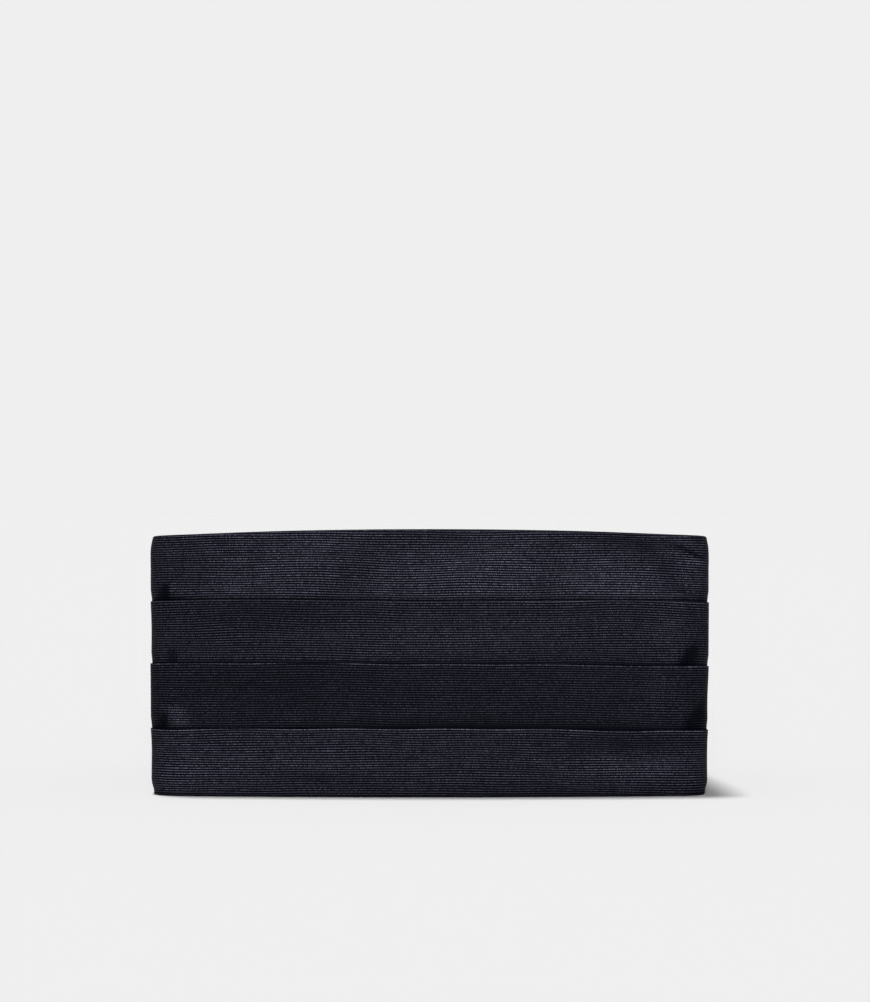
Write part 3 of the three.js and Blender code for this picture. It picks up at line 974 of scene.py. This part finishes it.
def rounded_ring(half_depth, half_height, radius):
    """Points of a rounded oblong about 0, 0, from the middle of its inner side and round."""
    corners = [(1, 1, 0), (-1, 1, 90), (-1, -1, 180), (1, -1, 270)]
    points = [(half_depth, 0.0)]
    for side_depth, side_height, first in corners:
        middle = (side_depth * (half_depth - radius), side_height * (half_height - radius))
        arc = [(middle[0] + radius * math.cos(math.radians(first + turn)),
                middle[1] + radius * math.sin(math.radians(first + turn)))
               for turn in TAB_ARC]
        steps = TAB_SIDE_POINTS if abs(arc[0][1] - points[-1][1]) > radius else 1
        last = points[-1]
        points += [(last[0] + (arc[0][0] - last[0]) * k / steps,
                    last[1] + (arc[0][1] - last[1]) * k / steps) for k in range(1, steps)]
        points += arc
    last = points[-1]
    points += [(half_depth, last[1] * (1 - k / TAB_SIDE_POINTS))
               for k in range(1, TAB_SIDE_POINTS + 1)]
    return points


def side_name(side):
    """The word for a side in the names of pieces."""
    return "left" if side < 0 else "right"


def tab(side):
    """One end tab: a ring of points round the band for each place along it."""
    rows = [tab_start + (tab_end - tab_start) * k / TAB_ROWS for k in range(TAB_ROWS + 1)]
    rings = []
    for along in rows:
        middle_depth, half_depth, middle_height, half_height = tab_section(along)
        ring = rounded_ring(half_depth, half_height, min(TAB_ROUND, half_depth * ROUND_LIMIT))
        rings.append([(middle_depth + depth, middle_height + z) for depth, z in ring])
    around = [0.0]
    for a, b in zip(rings[0], rings[0][1:]):
        around.append(around[-1] + math.dist(a, b))

    def place(point, row):
        depth, z = rings[row][point]
        return in_band(side * rows[row], depth, z), (rows[row], around[point]), TAB_PAINTED_LIGHT

    bm = grid_sheet(list(range(len(around))), list(range(len(rows))), place)
    bmesh.ops.remove_doubles(bm, verts=bm.verts, dist=MERGE_GAP * MM)
    bmesh.ops.recalc_face_normals(bm, faces=bm.faces)
    sleeve = finish_piece("end_tab_cloth_" + side_name(side), bm, ribbed_silk, TAB_WALL)
    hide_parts("end_tab_" + side_name(side))
    return sleeve


tabs = [tab(side) for side in (-1, 1)]
print("tabs from", round(tab_start), "to", round(tab_end), "mm along,",
      len(tabs[0].data.polygons), "faces")

# %% [markdown]
# ## The straps
# A woven strap leaves each tab, passes over the clasp's outer bar, turns back through the slot
# and is sewn down on itself. Its grooves run across it and its two selvedges are smooth. Woven
# webbing looks matt, with only a faint gloss.

# %% Strap webbing material
WEBBING_PITCH = 1.3
SELVEDGE = 1.6

webbing, tree, shader = new_material("woven_strap_webbing")
along_cloth, down_cloth = flat_coordinates(tree)
grooves = math_step(tree, "COSINE", math_step(
    tree, "MULTIPLY", along_cloth, 2 * math.pi / WEBBING_PITCH))
from_edge = math_step(tree, "SUBTRACT", STRAP_WIDTH / 2, math_step(
    tree, "ABSOLUTE", math_step(tree, "SUBTRACT", down_cloth, STRAP_WIDTH / 2)))
inside = math_step(tree, "GREATER_THAN", from_edge, SELVEDGE)
woven = math_step(tree, "MULTIPLY_ADD", math_step(tree, "MULTIPLY", grooves, inside), 0.5, 0.5)
tree.links.new(ramp(tree, woven, [(0.0, "0c0c12"), (1.0, "242430")]), shader.inputs["Base Color"])
bump = add(tree, "ShaderNodeBump", {"Strength": 0.7, "Distance": 0.2 * MM}, {"Height": woven})
tree.links.new(bump.outputs["Normal"], shader.inputs["Normal"])
shader.inputs["Roughness"].default_value = 0.7
shader.inputs["IOR"].default_value = 1.5
shader.inputs["Specular IOR Level"].default_value = 0.2
print("webbing grooves every", WEBBING_PITCH, "mm")

# %% The straps
CLASP_BAR = 3.0
CLASP_THICK = 1.6
STRAP_RETURN = 24.0
STRAP_STEP = 3.0
STRAP_ROWS = 12
RETURN_STEPS = 10

clasp_low, clasp_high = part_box("clasp")
half_loop = sum(run[1] for run in loop_runs)
strap_rise = CLASP_THICK / 2 + SEAT_GAP + STRAP_THICK / 2
bar_middle = half_loop - clasp_high.x / MM + CLASP_BAR
strap_start = WING_LENGTH + 2 * SEAT_GAP
closing = bar_middle - CLASP_BAR - strap_rise


def strap_line():
    """The strap's middle line as places along the loop and depths in the band."""
    def lift(along):
        return smooth((along - closing + 2 * CLASP_BAR) / (2 * CLASP_BAR))

    count = round((closing - strap_start) / STRAP_STEP)
    line = []
    for k in range(count + 1):
        along = strap_start + (closing - strap_start) * k / count
        line.append((along, STRAP_DEPTH - strap_rise * lift(along)))
    for k in range(RETURN_STEPS + 1):
        turn = math.pi * k / RETURN_STEPS
        line.append((bar_middle + strap_rise * math.sin(turn),
                     STRAP_DEPTH - strap_rise * math.cos(turn)))
    doubled = STRAP_THICK + SEAT_GAP
    for k in range(RETURN_STEPS + 1):
        along = closing - STRAP_RETURN * k / RETURN_STEPS
        line.append((along, STRAP_DEPTH + doubled + (strap_rise - doubled) * lift(along)))
    return line


def strap(side):
    """One strap: a ribbon along its middle line, standing on edge."""
    line = [in_band(side * along, depth, 0) for along, depth in strap_line()]
    lengths = [0.0]
    for a, b in zip(line, line[1:]):
        lengths.append(lengths[-1] + math.dist(a, b))

    def place(index, row):
        x, y, _ = line[index]
        drop = STRAP_WIDTH * row / STRAP_ROWS
        return (x, y, strap_middle + STRAP_WIDTH / 2 - drop), (lengths[index], drop), 1

    bm = grid_sheet(list(range(len(line))), list(range(STRAP_ROWS + 1)), place)
    ribbon = finish_piece("strap_webbing_" + side_name(side), bm, webbing, STRAP_THICK)
    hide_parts("strap_" + side_name(side))
    return ribbon, lengths[-1]


straps = [strap(side) for side in (-1, 1)]
print("each strap", round(straps[0][1]), "mm long")

# %% [markdown]
# ## The clasp
# The clasp is a stamped plate with a slot for each strap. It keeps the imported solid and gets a
# satin nickel finish with the fine scratches of wear, which run along the band.

# %% Nickel material
SCRATCH_LENGTH = 2.5
SCRATCH_WIDTH = 0.25

nickel, tree, shader = new_material("satin_nickel_plate")
place = add(tree, "ShaderNodeTexCoord")
long_scale, cross_scale = 1 / (SCRATCH_LENGTH * MM), 1 / (SCRATCH_WIDTH * MM)
stretch = add(tree, "ShaderNodeMapping", {"Scale": (long_scale, long_scale, cross_scale)},
              {"Vector": place.outputs["Object"]})
scratches = add(tree, "ShaderNodeTexNoise", {"Scale": 1.0, "Detail": 2.0},
                {"Vector": stretch.outputs[0]})
rough = add(tree, "ShaderNodeMapRange", {"To Min": 0.22, "To Max": 0.4},
            {"Value": scratches.outputs["Fac"]})
tree.links.new(rough.outputs["Result"], shader.inputs["Roughness"])
shader.inputs["Base Color"].default_value = colour("bdbbb6")
shader.inputs["Metallic"].default_value = 1.0
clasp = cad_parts["clasp"]
clasp.data.materials.clear()
clasp.data.materials.append(nickel)
print("clasp", [round(x / MM, 1) for x in (*clasp_low, *clasp_high)])

# %% [markdown]
# ## Stitches
# Small stitches hold the hems down on the inside, the tabs on the band's ends and the straps'
# doubled ends. Each is a short rounded rod laid on the cloth, and those of one kind are one
# mesh. The thread is twisted polyester, dark and a little glossy, with fibres that just show.

# %% Thread material
FIBRES_PER_MM = 6.0

thread, tree, shader = new_material("twisted_polyester_thread")
place = add(tree, "ShaderNodeTexCoord")
fibres = add(tree, "ShaderNodeTexNoise", {"Scale": FIBRES_PER_MM / MM, "Detail": 1.0},
             {"Vector": place.outputs["Object"]})
tree.links.new(ramp(tree, fibres.outputs["Fac"], [(0.3, "14141c"), (0.7, "2c2c38")]),
               shader.inputs["Base Color"])
shader.inputs["Roughness"].default_value = 0.6
shader.inputs["IOR"].default_value = 1.5
shader.inputs["Specular IOR Level"].default_value = 0.2
print("fibres to a mm", FIBRES_PER_MM)

# %% Stitches along the hems
THREAD = 0.45
STITCH = 2.2
STITCH_STEP = 4.0
STITCH_START = 0.25
STITCH_INSET = 3.0
HEM_END = 2.0


def add_stitch(bm, start, end):
    """A rounded rod of thread between two points in mm."""
    a, b = Vector(start) * MM, Vector(end) * MM
    run = b - a
    turn = run.to_track_quat("Z", "Y").to_matrix().to_4x4()
    rod = bmesh.ops.create_uvsphere(bm, u_segments=6, v_segments=4, radius=0.5)["verts"]
    bmesh.ops.scale(bm, verts=rod, vec=(THREAD * MM, THREAD * MM, run.length))
    bmesh.ops.transform(bm, verts=rod, matrix=turn)
    bmesh.ops.translate(bm, verts=rod, vec=(a + b) / 2)


def stitch_piece(name, rods):
    """All the stitches of one kind as one piece."""
    bm = bmesh.new()
    for start, end in rods:
        add_stitch(bm, start, end)
    piece = finish_piece(name, bm, thread)
    return piece


def row_of_stitches(first, last, place):
    """Pairs of ends of stitches from one place to another, through a function of place."""
    count = round((last - first) / STITCH_STEP)
    rods = []
    for k in range(count):
        start = first + (last - first) * (k + STITCH_START) / count
        rods.append((place(start), place(start + STITCH)))
    return rods


def hem_row(top):
    """Stitches on the inside of the back panel along its upper or its lower edge."""
    def place(along):
        edges = edges_at(along)
        inset = PANEL_INSET + STITCH_INSET
        z = edges[0] - inset if top else edges[4] + inset
        return in_band(along, panel_depth(along, z, edges) + PANEL_WALL / 2, z)

    return row_of_stitches(-tab_start + HEM_END, tab_start - HEM_END, place)


hem_stitches = stitch_piece("hem_stitches", hem_row(True) + hem_row(False))
print("hem stitches", len(hem_stitches.data.polygons), "faces, each", STITCH, "mm long")

# %% Stitches of the straps and the tabs
# The box of stitches: how far it stays from the lift over the clasp, the strap's end and sides.
BOX_FROM_LIFT = 8.0
BOX_FROM_END = 3.0
BOX_FROM_SIDE = 4.0


def box_of_stitches(side):
    """A square of stitches through a strap's doubled end, shown on its inside."""
    depth = STRAP_DEPTH + STRAP_THICK / 2 + STRAP_THICK + SEAT_GAP
    last = closing - BOX_FROM_LIFT
    first = closing - STRAP_RETURN + BOX_FROM_END
    reach = STRAP_WIDTH / 2 - BOX_FROM_SIDE
    rods = []
    for z in (strap_middle - reach, strap_middle + reach):
        rods += row_of_stitches(first, last, lambda a, z=z: in_band(side * a, depth, z))
    for along in (first, last):
        rods += row_of_stitches(-reach, reach,
                                lambda s, along=along: in_band(side * along, depth, strap_middle + s))
    return rods


strap_stitches = stitch_piece("strap_stitches", box_of_stitches(-1) + box_of_stitches(1))


def tab_row(side):
    """Stitches that close a tab's mouth on the band, outside and inside."""
    along = tab_start + STITCH_INSET
    middle_depth, half_depth, middle, half_height = tab_section(along)
    reach = half_height - STITCH_INSET
    rods = []
    for face in (-1, 1):
        depth = middle_depth + face * (half_depth + TAB_WALL / 2)
        rods += row_of_stitches(middle - reach, middle + reach,
                                lambda z, depth=depth: in_band(side * along, depth, z))
    return rods


tab_stitches = stitch_piece("tab_stitches", tab_row(-1) + tab_row(1))
print("strap and tab stitches",
      len(strap_stitches.data.polygons) + len(tab_stitches.data.polygons), "faces")
